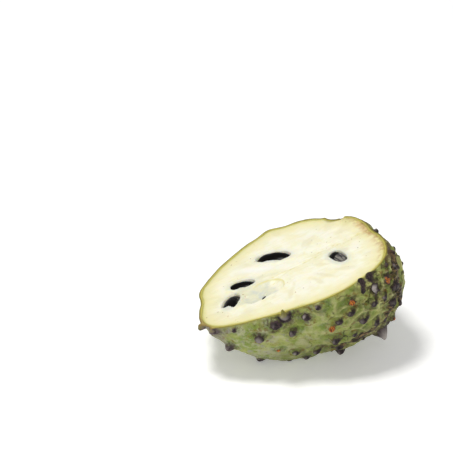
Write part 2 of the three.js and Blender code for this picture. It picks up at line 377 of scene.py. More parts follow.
def make_piece(name, points, faces, values, replaced):
    """A smooth-shaded mesh that stands for a node of the frame. values are stored on its points by name."""
    mesh = bpy.data.meshes.new(name)
    mesh.from_pydata(laid_down(points).tolist(), [], faces)
    mesh.shade_smooth()
    for key, value in {"fruit": points, **values}.items():
        is_vector = np.ndim(value) == 2
        stored = mesh.attributes.new(key, "FLOAT_VECTOR" if is_vector else "FLOAT", "POINT")
        stored.data.foreach_set("vector" if is_vector else "value", np.ravel(value).astype(np.float32))
    piece = bpy.data.objects.new(name, mesh)
    bpy.context.collection.objects.link(piece)
    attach(piece, "root")
    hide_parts(replaced)
    print(f"{name}: {len(points)} points, {len(faces)} faces, {time.time() - started:.1f} s")
    return piece


print("a disc of 10 rings has", ring_start(11), "points and", len(ring_faces(10, facing_out=True)), "faces")


# %% Ripples and hollows
def ripple(points, size, seed, waves=14):
    """Soft random ups and downs of about -1 to 1, with bumps of about this size in mm."""
    rng = np.random.default_rng(seed)
    total = np.zeros(len(points))
    for _ in range(waves):
        direction = unit(rng.normal(size=3)) * 2 * math.pi / (2.2 * size) * rng.uniform(0.6, 1.4)
        total += np.sin(points @ direction + rng.uniform(0, 2 * math.pi))
    return total / math.sqrt(waves / 2) / 1.6


def along_and_aside(x, y, at, bearing):
    """Distances on the face from a place, along a bearing and across it."""
    b = math.radians(bearing)
    away_x, away_y = x - at[0], y - at[1]
    return away_x * math.cos(b) + away_y * math.sin(b), away_y * math.cos(b) - away_x * math.sin(b)


def hollow_height(x, y, hollow):
    """Height of an open hollow's bowl over the face. Outside the bowl it is its middle's height."""
    along, aside = along_and_aside(x, y, hollow["at"], hollow["bearing"])
    half = hollow["half"]
    inside = np.clip(1 - (along / half[0]) ** 2 - (aside / half[1]) ** 2, 0, 1)
    return hollow["at"][2] - half[2] * np.sqrt(inside)


def soft_least(a, b, width):
    """The smaller of two heights, with the crease between them rounded off."""
    mix = np.clip(0.5 + 0.5 * (b - a) / width, 0, 1)
    return b + (a - b) * mix - width * mix * (1 - mix)


sample = ripple(knob_feet, 5, 1)
print("at the knobs a ripple runs from", sample.min().round(2), "to", sample.max().round(2))

# %% [markdown]
# ## The relief of the skin
# A custard apple is many carpels grown together. On the skin each shows as a low mound that ends in a
# blunt dark knob leaning towards the blossom end, and between neighbours there is a faint crest, which
# grows sharp near the stem end. Spikes could be separate cones, but real knobs flow out of the skin, so
# here the skin itself is pushed out: mounds and crests along its normal, and the knobs along their own
# lean.

# %% Dimensions of the skin
CREST_HEIGHT = (0.3, 1.2)  # at the blossom end and at the stem end
CREST_WIDTH = 1.4
PIT_DEPTH = (0.7, 1.3)  # of the dip round each knob, likewise
PIT_RADIUS = 3.1
PIT_WIDTH = 1.1
CARPEL_STRETCH = 1.7  # carpels are longer along the core than across
POCKET_DEPTH = 0.9  # of the hollow above each knob towards the stem end
POCKET_SIDE = np.array([0.8, 0, 0.6])  # the way from a knob to its hollow
POCKET_AWAY = 2.3  # mm from the knob to the middle of its hollow
POCKET_HALF = (2.4, 1.7, 4)  # its half axes, the last one through the skin
RIM_SHARE = 0.33  # of the relief's height that is left at the cut
RIM_CALM = 4  # the depth under the cut where it has its whole height
TIP_BLUNTNESS = 0.55
TIP_POWER = 4.2  # higher for a squarer tip
KNOB_WAVER = 0.18  # how much the knobs lean this way and that
ORANGE_KNOBS = {  # how far the cork shows on a knob that is rubbed open, by its bearing and slope
    (-143, 30): 0.9, (-100, 21): 1, (-80, 9): 1, (-53, 10): 0.7, (-47, 45): 0.6,
    (-67, 1): 0.25, (-61, 1): 0.25,
}
ORANGE_SHARE = 0.08  # of the knobs out of view, which are rubbed open as far as the next number says
ORANGE_REST = 0.8
PALE_KNOBS = {  # how grey with bloom a knob is
    (-55, 56): 1, (-63, 9): 0.9, (-144, 14): 0.55, (-125, 16): 0.4, (-121, 2): 0.5,
}
SCARS = [  # where the skin has cracked to dark cork: bearings and slopes, and half width
    (RIDGES[0][0][:-2], 2.6),
    ([(-42, 37), (-48, 20), (-45, 11), (-38, 5), (-33, 2)], 4),
]
HIGHLIGHT_SIDE = np.array([-0.6, 0, 0.8])  # a painted highlight lies on the side of a knob that looks this way
print(len(ORANGE_KNOBS), "knobs in view are rubbed open,", len(PALE_KNOBS), "are pale with bloom")


# %% Ridges, carpels and pockets
def ridge_line(places):
    """The points of a ridge on the bare back, with straight spans between them."""
    line = []
    for (b0, s0), (b1, s1) in zip(places[:-1], places[1:]):
        for step in range(RIDGE_STEPS):
            t = step / RIDGE_STEPS
            line.append(back_point(np.array(b0 + (b1 - b0) * t), np.array(s0 + (s1 - s0) * t)))
    line.append(back_point(np.array(float(places[-1][0])), np.array(float(places[-1][1]))))
    return np.array(line)


def distance_to_line(points, line):
    nearest = np.full(len(points), 1e9)
    for start, end in zip(line[:-1], line[1:]):
        along = end - start
        t = np.clip((points - start) @ along / (along @ along), 0, 1)
        nearest = np.minimum(nearest, np.linalg.norm(points - start - t[:, None] * along, axis=1))
    return nearest


def carpels(points):
    """The mounds' height as a share, and the distances to the nearest and second nearest knob."""
    mound = np.zeros(len(points))
    nearest = np.full(len(points), 1e9)
    second = np.full(len(points), 1e9)
    for foot, size in zip(knob_feet, knob_sizes):
        away = points - foot
        stretched = away.copy()
        stretched[:, 0] = np.where(away[:, 0] > 0, away[:, 0] / MOUND_STRETCH, away[:, 0])
        mound = np.maximum(mound, size * np.exp(-(stretched**2).sum(1) / MOUND_REACH**2))
        away[:, 0] /= CARPEL_STRETCH
        distance = np.linalg.norm(away, axis=1) / size**0.3
        second = np.minimum(second, np.maximum(nearest, distance))
        nearest = np.minimum(nearest, distance)
    return mound, nearest, second


def pockets(points):
    """How deep in the hollow between a knob and its upper crest each point lies, as a share."""
    deep = np.zeros(len(points))
    for (bearing, slope, size), foot in zip(knobs, knob_feet):
        normal = back_normal(np.array(bearing), np.array(slope))
        along = unit(POCKET_SIDE - (POCKET_SIDE @ normal) * normal)
        away = points - foot
        forward = (away @ along / size**0.5 - POCKET_AWAY) / POCKET_HALF[0]
        aside = away @ np.cross(normal, along) / size**0.5 / POCKET_HALF[1]
        through = away @ normal / POCKET_HALF[2]
        deep = np.maximum(deep, np.exp(-(forward**2 + aside**2 + through**2)))
    return deep


print("points along each ridge:", [len(ridge_line(places)) for places, rise, half_width in RIDGES])


# %% Low relief
def low_relief(points):
    """Height of the skin but for its knobs, and the values that its finish reads."""
    warped = points + 0.9 * ripple(points, 5, 3)[:, None]
    mound, nearest, second = carpels(warped)
    pocket = pockets(warped)
    stemwards = smooth(points[:, 0], -25, 30)
    crest = np.exp(-(((second - nearest) / CREST_WIDTH) ** 2)) * (1 - 0.6 * mound)
    pit = np.exp(-(((nearest - PIT_RADIUS) / PIT_WIDTH) ** 2)) * (1 - crest)
    low = MOUND_HEIGHT * mound
    low += (CREST_HEIGHT[0] + (CREST_HEIGHT[1] - CREST_HEIGHT[0]) * stemwards) * crest
    low -= (PIT_DEPTH[0] + (PIT_DEPTH[1] - PIT_DEPTH[0]) * stemwards) * pit
    low -= POCKET_DEPTH * (0.3 + 0.7 * stemwards) * pocket
    for places, rise, half_width in RIDGES:
        away = distance_to_line(points, ridge_line(places)) + 0.4 * ripple(points, 2.5, 5)
        bank = rise * np.exp(-((np.maximum(away, 0) / half_width) ** 2))
        low = np.maximum(low, low * 0.5 + bank)
    scar = np.zeros(len(points))
    for places, half_width in SCARS:
        away = distance_to_line(points, ridge_line(places)) + 0.5 * ripple(points, 2.5, 5)
        scar = np.maximum(scar, np.exp(-((np.maximum(away, 0) / half_width) ** 2)))
    low += 0.45 * ripple(points, 7, 1) + 0.32 * ripple(points, 3, 2) + 0.12 * ripple(points, 1.4, 6)
    low *= RIM_SHARE + (1 - RIM_SHARE) * smooth(-points[:, 2], 0, RIM_CALM)
    return low, {"pit": pit, "pocket": pocket, "scar": scar, "crest": crest * stemwards}


height_at_knobs, _ = low_relief(knob_feet)
print("under the knobs the skin stands", height_at_knobs.mean().round(2), "mm out on average")


# %% Knobs
def push_knobs(points, pushed, low):
    """Pushes the knobs out of the skin, each along its own lean. Returns the values of their finish."""
    tip = np.zeros(len(points))
    orange = np.zeros(len(points))
    pale = np.zeros(len(points))
    rng = np.random.default_rng(21)
    for index, ((bearing, slope, size), foot) in enumerate(zip(knobs, knob_feet)):
        root = KNOB_ROOT * size**0.5
        normal = back_normal(np.array(bearing), np.array(slope))
        lean = unit(normal + np.array([-KNOB_SLANT, 0, 0]) + KNOB_WAVER * rng.normal(size=3))
        uneven = rng.uniform(-0.22, 0.22, 3)
        rubbed = ORANGE_KNOBS.get((bearing, slope), 0)
        bloom = PALE_KNOBS.get((bearing, slope), 0)
        spread = rng.uniform(0.5, 1.6) if slope > 2 else 0.4
        if index >= len(NEAR_KNOBS) and rng.random() < ORANGE_SHARE:
            rubbed = ORANGE_REST
        close = np.nonzero(np.linalg.norm(points - foot, axis=1) < 2.8 * root)[0]
        away = points[close] - foot
        away = away - (away @ normal)[:, None] * normal
        wobble = 1 + 0.2 * ripple(points[close], 1.4, 100 + index)
        d = np.linalg.norm(away * (1 + uneven), axis=1) / root * wobble
        rise = 1 / (1 + (d / TIP_BLUNTNESS) ** (TIP_POWER / max(1, size) ** 0.8))
        height = np.maximum((KNOB_HEIGHT + MOUND_HEIGHT) * size - low[close], 0)
        pushed[close] += lean * (height * rise)[:, None]
        tip[close] = np.maximum(tip[close], rise**spread)
        orange[close] = np.maximum(orange[close], rise * rubbed)
        # painted highlight: each knob is coloured paler on its side towards the light, beside the real bloom
        # of PALE_KNOBS
        lit_side = np.clip(0.1 + 1.5 * (away @ HIGHLIGHT_SIDE) / root, 0, 1) * 0.85
        pale[close] = np.maximum(pale[close], rise * np.maximum(lit_side, bloom))
    return {"tip": tip, "orange": orange, "pale": pale}


def skin_relief(points, normals):
    """Pushes the bare skin out. Returns the new points and the values that its finish reads."""
    low, values = low_relief(points)
    pushed = points + normals * low[:, None]
    values.update(push_knobs(points, pushed, low))
    return pushed, values


print("knobs stand", KNOB_HEIGHT + MOUND_HEIGHT, "mm out of the bare skin, times their size")


# %% [markdown]
# ## The rind
# The rind is a cup one and a half millimetres thick. Its outside carries the relief. Its cut edge is
# drawn with a few rings of its own, slightly uneven as a knife leaves it, and its inside is coarse
# because the flesh fills it. What would be lower than the table is pressed flat, which is the small spot
# that the half rests on.

# %% What the knife left on the rim
FLAP_HEIGHT = 0.9  # the rim stands up beside the stem end
RIM_KNOBS = {"from": -74, "to": -56, "height": 1.8, "lean": 0.035}  # bearings where knobs stand above the cut
CURL = {"bearing": -120.2, "half_width": 1.1, "height": 2.3}  # a shaving that the knife left on the rim


def rim_lift(x, y):
    """How far the knife left the edge of the face standing up."""
    bearing = np.degrees(np.arctan2(y, x))
    flap = smooth(bearing, 6, 20) * smooth(-bearing, -40, -30) * smooth(np.hypot(x, y), 32, 44)
    return FLAP_HEIGHT * flap


def notched(points):
    """Lowers points of the rim to the open hollow that cuts it."""
    hollow = HOLLOWS[1]
    bowl = hollow_height(points[:, 0], points[:, 1], hollow)
    inside = bowl < hollow["at"][2]
    return np.where(inside, soft_least(points[:, 2], bowl, 0.6), points[:, 2])


print("the flap stands up", FLAP_HEIGHT, "mm and the curl", CURL["height"], "mm")

# %% Rind
OUTER_RINGS = 150
INNER_SLOPES = [1.5, 4, 9, 16, 25, 35, 46, 57, 68, 78, 86]
EDGE_STEPS = [(0.2, -0.03), (0.5, 0.02), (0.9, 0.02), (RIND, -0.03)]  # inset and height of the edge's rings
EDGE_DROP = 0.06  # how far below the cut the outside of the rim stays
TUCK = 0.2  # how far below an edge the rows inside it stay, at least


def rest_flat(points):
    """Presses what is below the table up to it."""
    world = points @ REST.T
    world[:, 2] = np.maximum(world[:, 2], floor_level)
    return world @ REST


def make_rind():
    share, bearing = ring_angles(OUTER_RINGS)
    slope = 90 * (1 - share)
    bare = back_point(bearing, slope)
    outer, values = skin_relief(bare, back_normal(bearing, slope))
    standing = (bearing - 360 > RIM_KNOBS["from"]) & (bearing - 360 < RIM_KNOBS["to"])
    standing = standing * values["tip"] * smooth(bare[:, 2], -5, -1)
    outer[:, 2] = np.minimum(outer[:, 2], -EDGE_DROP) + RIM_KNOBS["height"] * standing
    outer[:, :2] *= 1 - RIM_KNOBS["lean"] * standing[:, None]
    outer[:, 2] = notched(outer)
    faces = ring_faces(OUTER_RINGS, facing_out=False)
    around = 6 * OUTER_RINGS
    first = ring_start(OUTER_RINGS)
    rim_bearing = bearing[first:]
    rim = outer[first:]
    inner = back_point(rim_bearing, np.zeros(around), RIND)
    rows = [outer]
    for inset, height in EDGE_STEPS:
        row = rim + (inner - rim) * (inset / RIND)
        beside = (rim_bearing - CURL["bearing"] + 180) % 360 - 180
        curl = CURL["height"] * np.exp(-((beside / CURL["half_width"]) ** 4))
        row[:, 2] = height + 0.08 * ripple(row, 2.5, 8) + rim_lift(row[:, 0], row[:, 1])
        row[:, 2] += curl * (inset < 0.6) + RIM_KNOBS["height"] * standing[first:] * (1 - inset / RIND)
        row[:, 2] = notched(row)
        rows.append(row)
    edge_height = rows[-1][:, 2]
    for inner_slope in INNER_SLOPES:
        row = back_point(rim_bearing, np.full(around, float(inner_slope)), RIND)
        row[:, 2] = np.minimum(row[:, 2], edge_height - TUCK)
        rows.append(row)
    bottom = back_point(np.zeros(1), np.full(1, 90.0), RIND)
    close_back(faces, first, around, len(rows))
    points = rest_flat(np.concatenate(rows + [bottom]))
    values.update({"depth": -bare[:, 2], "inset": np.zeros(len(bare))})
    values = padded(values, len(points))
    start = len(bare)
    for inset, height in EDGE_STEPS:
        values["tip"][start : start + around] = standing[first:] * (1 - 0.5 * inset / RIND)
        values["inset"][start:] = inset
        start += around
    return make_piece("rind_skin", points, faces, values, "rind")


rind = make_rind()

# %% [markdown]
# ## The flesh
# The cut face isn't a plain plane. A knife drags the soft pulp, seeds leave pockets with rounded lips,
# the core is a fibrous band, and two hollows stay open where seeds have come out. All of it can be told
# as one height over the face, so the face is a fine height field and its back is a coarse bowl inside the
# rind.

# %% Seed pockets
POCKET_LOOSENESS = 0.4
MISSED = -99  # a seed's top where the line doesn't meet it


def seed_cut(x, y, seed):
    """Where a vertical line at (x, y) enters and leaves the grown seed, and how far off its axis it is."""
    dip, roll, scale = math.radians(seed["dip"]), math.radians(seed["roll"]), seed["scale"]
    along, aside = along_and_aside(x, y, seed["at"], seed["bearing"])
    share = along / ((SEED_LENGTH / 2 + POCKET_LOOSENESS) * scale)
    egg = np.clip(1 - np.abs(share) ** (2 / SEED_FULLNESS), 0, 1) ** 0.5
    waist = 1 - SEED_TAPER * np.clip(share, 0, 1) ** 1.5
    width = np.maximum((SEED_WIDTH / 2 + POCKET_LOOSENESS) * scale * egg * waist, 1e-3)
    thick = np.maximum((SEED_THICKNESS / 2 + POCKET_LOOSENESS) * scale * egg * waist, 1e-3)
    c, s = math.cos(roll), math.sin(roll)
    square = (s / width) ** 2 + (c / thick) ** 2
    cross = aside * c * s * (1 / width**2 - 1 / thick**2)
    rest = aside**2 * ((c / width) ** 2 + (s / thick) ** 2) - 1
    inside = cross**2 - square * rest
    root = np.sqrt(np.clip(inside, 0, None))
    middle = seed["at"][2] - along * math.sin(dip)
    top = middle + (-cross + root) / square
    bottom = middle + (-cross - root) / square
    hit = (inside > 0) & (egg > 0)
    off_axis = np.hypot(along / (SEED_LENGTH / 2 * scale), aside / (SEED_WIDTH / 2 * scale))
    return np.where(hit, top, MISSED), np.where(hit, bottom, 0), off_axis


for seed in SEEDS:
    top, bottom, off_axis = seed_cut(*np.array(seed["at"])[:2, None], seed)
    print(seed["name"], "has its top at", top[0].round(1), "mm and its bottom at", bottom[0].round(1))

# %% Marks on the face
LIP = 0.8
CORE_WIDTH = 2.4
LIP_SKIN = 0.15  # thickness of the flesh over a hidden part of a seed
MILKY = {"at": (-12.9, 14.5), "half": (11, 3.2), "bearing": -40}  # a smooth white stripe of pulp
HAZE = {"at": (-23, -4), "half": (14.5, 9.5), "bearing": 12}  # greyer pulp in and beside the open hollow
SHOULDER = {"at": (39, 19), "half": (5, 7), "bearing": 25}  # greener pulp beside the hollow at the rim
# What the cut has opened over a seed: middle, half axes and bearing, then the bearing, offset and bulge of
# the near lip, and how deep under the face a seed still counts as laid open.
MOUTHS = {
    "seed_1": {"at": (-1.9, 20.1), "half": (12, 7), "bearing": -45, "lip": (-40, -4.4, 0.5), "rise": 1.4},
    "seed_3": {"at": (-24, 8.8), "half": (6.2, 5), "bearing": -36, "lip": (-33, -4.4, 1.5), "rise": 1.7},
    "seed_4": {"at": (-34.6, -1.3), "half": (12, 8), "bearing": 50, "lip": (-40, -6.4, 0.9), "rise": 1.7},
    "seed_5": {"at": (-20.3, -8.7), "half": (3, 0.65), "bearing": 46, "lip": (46, -2, 0), "rise": 2.6},
}


def soft_oval(x, y, place):
    """1 in the middle of an oval place on the face, fading outwards."""
    along, aside = along_and_aside(x, y, place["at"], place["bearing"])
    return np.exp(-((along / place["half"][0]) ** 2) - (aside / place["half"][1]) ** 2)


def covered_share(x, y, name):
    """1 where flesh still covers a seed, outside its mouth or on the near side of the wavy lip."""
    if name not in MOUTHS:
        return np.zeros(len(x))
    mouth = MOUTHS[name]
    wave = ripple(np.stack([x, y, 0 * x], -1), 1.8, 41)
    along, aside = along_and_aside(x, y, mouth["at"], mouth["bearing"])
    outside = smooth(np.hypot(along / mouth["half"][0], aside / mouth["half"][1]) + 0.06 * wave, 0.96, 1.04)
    lip_bearing, offset, bulge = mouth["lip"]
    along, aside = along_and_aside(x, y, mouth["at"], lip_bearing)
    lip = offset + bulge * np.exp(-((along / 3) ** 2)) + 0.3 * wave
    return np.maximum(outside, smooth(lip - aside, -0.15, 0.15))


def core_offset(points):
    """Distance across the face from the wavy middle line of the core."""
    return points[:, 1] + 0.5 - 1.2 * np.sin(points[:, 0] / 13)


print(len(MOUTHS), "seeds are partly covered:", sorted(MOUTHS))


# %% Face relief
def face_relief(points):
    """Height of the cut face over its plane, and the values that its finish reads."""
    x, y = points[:, 0], points[:, 1]
    core = np.exp(-((core_offset(points) / CORE_WIDTH) ** 2)) * smooth(x, -46, -30)
    out = np.hypot(x, y) + 1e-6
    spokes = ripple(np.stack([13 * x / out, 13 * y / out, out / 7], -1), 1.3, 36) * smooth(out, 5, 16)
    height = 0.16 * ripple(points, 9, 31) + 0.06 * ripple(points * [0.35, 1, 1], 1.6, 32) + 0.07 * spokes
    height += core * (0.1 * ripple(points * [0.2, 1, 1], 0.9, 33) - 0.15)
    height += rim_lift(x, y)
    glow = np.zeros(len(points))
    for seed in SEEDS[:4]:
        off_axis = seed_cut(x, y, seed)[2]
        glow = np.maximum(glow, np.exp(-((np.clip(off_axis - 0.75, 0, None) / 0.4) ** 2)))
        height += 0.2 * np.exp(-(((off_axis - 1.15) / 0.22) ** 2))
    along, aside = along_and_aside(x, y, HAZE["at"], HAZE["bearing"])
    ragged = 0.25 * ripple(points, 3.5, 39)
    haze = smooth(np.hypot(along / HAZE["half"][0], aside / HAZE["half"][1]) + ragged, 1.15, 0.55)
    uneven = 0.8 * ripple(points, 5, 37)
    dish = hollow_height(x + uneven, y - uneven, HOLLOWS[0]) + 0.2 * ripple(points, 4, 34)
    dent = hollow_height(x, y, HOLLOWS[1]) + 0.15 * ripple(points, 2.5, 35)
    in_dish = smooth(-dish, -0.6, 2.2)
    in_dent = smooth(-dent, 0.1, 1.5)
    stem_side = smooth((x - HOLLOWS[0]["at"][0]) * 0.8 + (y - HOLLOWS[0]["at"][1]) * 0.6, 1, 7)
    dish_edge = np.exp(-(((dish + 0.1) / 0.45) ** 2)) * (dish < 1.1) * stem_side
    height += 0.4 * dish_edge
    height = soft_least(height, dish, 2.2 - 1.4 * stem_side)
    height = soft_least(height, dent, 0.8)
    for seed in SEEDS:
        top, bottom, off_axis = seed_cut(x, y, seed)
        covered = covered_share(x, y, seed["name"])
        over = np.maximum(height, np.where(top > MISSED, top - POCKET_LOOSENESS + LIP_SKIN, MISSED))
        mouth_rise = MOUTHS.get(seed["name"], {}).get("rise", MOUTH_RISE)
        open_share = smooth(top + mouth_rise - np.minimum(height, 0), 0, LIP)
        opened = height + (np.minimum(bottom, height) - height) * open_share
        height = opened + (over - opened) * covered
    values = {"core": core, "glow": glow, "spokes": spokes, "haze": haze}
    values.update({"dish": in_dish, "dent": in_dent, "dish_edge": dish_edge})
    values.update({"milky": soft_oval(x, y, MILKY), "shoulder": soft_oval(x, y, SHOULDER)})
    return height, values


middle_height, _ = face_relief(np.zeros((1, 3)))
print("the middle of the face lies", middle_height[0].round(2), "mm from its plane")

# %% Flesh
FACE_RINGS = 135
BACK_SLOPES = [2, 5, 10, 17, 26, 36, 47, 58, 69, 79, 86]


def make_flesh():
    share, bearing = ring_angles(FACE_RINGS)
    inset = RIND + HAIRLINE
    out = share * (reach(bearing) - inset)
    turn = np.radians(bearing)
    face = np.stack([out * np.cos(turn), out * np.sin(turn), np.zeros(len(out))], -1)
    face[:, 2], values = face_relief(face)
    values["rim"] = (reach(bearing) - inset) - out
    around = 6 * FACE_RINGS
    first = ring_start(FACE_RINGS)
    rim_bearing = bearing[first:]
    rows = [face]
    for slope in BACK_SLOPES:
        row = back_point(rim_bearing, np.full(around, float(slope)), inset)
        row[:, 2] = np.minimum(row[:, 2], face[first:, 2] - TUCK)
        rows.append(row)
    bottom = back_point(np.zeros(1), np.full(1, 90.0), inset)
    faces = ring_faces(FACE_RINGS, facing_out=True)
    close_back(faces, first, around, len(rows), flip=True)
    points = np.concatenate(rows + [bottom])
    return make_piece("flesh_pulp", points, faces, padded(values, len(points)), "flesh")


flesh = make_flesh()

# %% [markdown]
# ## The seeds
# A custard apple seed is a flattened bean, nearly black, with a fine ridge round its edge and a small
# pale scar at the pointed end. Each is its own mesh, so that the light runs over it in one unbroken
# highlight. Where the flesh hasn't let go, a thin grey membrane with fine lines still covers part of it.

# %% Seeds
SEED_SIDES = 56
SEED_BANDS = 40
EDGE_RIDGE = 0.18
MEMBRANE = {"seed_1": 0.0, "seed_2": 1.0, "seed_3": 0.15, "seed_4": 0.5, "seed_5": 0}


def make_seed(seed):
    points, faces = seed_points(SEED_SIDES, SEED_BANDS)
    half = np.array([SEED_LENGTH, SEED_WIDTH, SEED_THICKNESS]) / 2
    share = points / half
    edge = np.exp(-((share[:, 2] / 0.16) ** 2)) * (1 - share[:, 0] ** 2)
    radial = unit(points * [0, 1, 1] + [0, 1e-9, 0])
    points = points + radial * (EDGE_RIDGE * edge)[:, None]
    points = points + radial * (0.06 * ripple(points, 2.2, 51))[:, None] * (1 - share[:, :1] ** 4)
    scar = smooth(share[:, 0], 0.86, 0.97)
    film = MEMBRANE[seed["name"]] * smooth(share[:, 0], -0.4, 0.05)
    values = {"bean": points, "scar": scar, "film": film}
    return make_piece(seed["name"] + "_coat", place_seed(points, seed), faces, values, seed["name"])


seeds = [make_seed(seed) for seed in SEEDS]


# %% [markdown]
# ## Shader maths in plain expressions
# A finish is a tree of small nodes. Written out one by one they hide what they do, so one class wraps a
# socket and lets Python's own signs add the Math nodes: 1 - mask is a node, and so is mask * 0.5.

# %% Paint class
class Paint:
    """A socket of a material. Arithmetic with numbers or other sockets adds Math nodes."""

    def __init__(self, tree, socket):
        self.tree = tree
        self.socket = socket

    def node(self, kind, settings=None, inputs=None, output=0):
        """Adds any node: first its settings, then its sockets, each a value or another Paint."""
        made = self.tree.nodes.new(kind)
        for key, value in (settings or {}).items():
            setattr(made, key, value)
        for key, value in (inputs or {}).items():
            if isinstance(value, Paint):
                self.tree.links.new(value.socket, made.inputs[key])
            else:
                made.inputs[key].default_value = value
        return Paint(self.tree, made.outputs[output])

    def math(self, operation, *values):
        return self.node("ShaderNodeMath", {"operation": operation}, dict(enumerate(values)))

    def __add__(self, other):
        return self.math("ADD", self, other)

    def __radd__(self, other):
        return self.math("ADD", other, self)

    def __sub__(self, other):
        return self.math("SUBTRACT", self, other)

    def __rsub__(self, other):
        return self.math("SUBTRACT", other, self)

    def __mul__(self, other):
        return self.math("MULTIPLY", self, other)

    def __rmul__(self, other):
        return self.math("MULTIPLY", other, self)

    def rise(self, low, high):
        """0 below low, 1 above high, and a soft rise between."""
        inputs = {"Value": self, "From Min": low, "From Max": high}
        return self.node("ShaderNodeMapRange", {"interpolation_type": "SMOOTHSTEP"}, inputs)

    def stretched(self, x, y, z):
        """These coordinates with each direction scaled."""
        return self.node("ShaderNodeVectorMath", {"operation": "MULTIPLY"}, {0: self, 1: (x, y, z)})

    def noise(self, size, detail=3.0, roughness=0.55):
        """Soft noise from 0 to 1 over these coordinates, with blotches of about this size."""
        inputs = {"Vector": self, "Scale": 1 / size, "Detail": detail, "Roughness": roughness}
        return self.node("ShaderNodeTexNoise", {}, inputs)

    def noise_vector(self, size):
        """Three soft noises as one vector."""
        inputs = {"Vector": self, "Scale": 1 / size, "Detail": 2.0}
        return self.node("ShaderNodeTexNoise", {}, inputs, output="Color")

    def over(self, under, top):
        """The colour under with the colour top laid over it by this mask."""
        settings = {"data_type": "RGBA"}
        return self.node("ShaderNodeMix", settings, {0: self, 6: under, 7: top}, output=2)


print("Paint's methods:", [name for name in vars(Paint) if not name.startswith("__")])


# %% Colours and materials
def colour(red, green, blue):
    """A colour as a screen shows it, 0 to 255, in the linear light that the renderer works in."""
    linear = [((v / 255 + 0.055) / 1.055) ** 2.4 if v > 10 else v / 255 / 12.92 for v in (red, green, blue)]
    return (*linear, 1.0)


def layered(under, layers):
    """The colour under with each layer laid over it in turn: a mask and a colour for a screen, or a Paint."""
    for mask, tone in layers:
        under = mask.over(under, tone if isinstance(tone, Paint) else colour(*tone))
    return under


def new_material(name):
    """A material, its Principled shader, and a Paint to start from."""
    material = bpy.data.materials.new(name)
    material.use_nodes = True
    shader = material.node_tree.nodes["Principled BSDF"]
    return material, shader, Paint(material.node_tree, None)


def stored(paint, name, output="Fac"):
    """A value that the mesh holds on its points."""
    return paint.node("ShaderNodeAttribute", {"attribute_name": name}, output=output)


def connect(shader, paint, name):
    paint.tree.links.new(paint.socket, shader.inputs[name])


def bump(height, strength, distance):
    """Fine relief for the Normal socket."""
    return height.node("ShaderNodeBump", {}, {"Height": height, "Strength": strength, "Distance": distance})


print("cream in linear light:", [round(part, 3) for part in colour(250, 247, 218)])
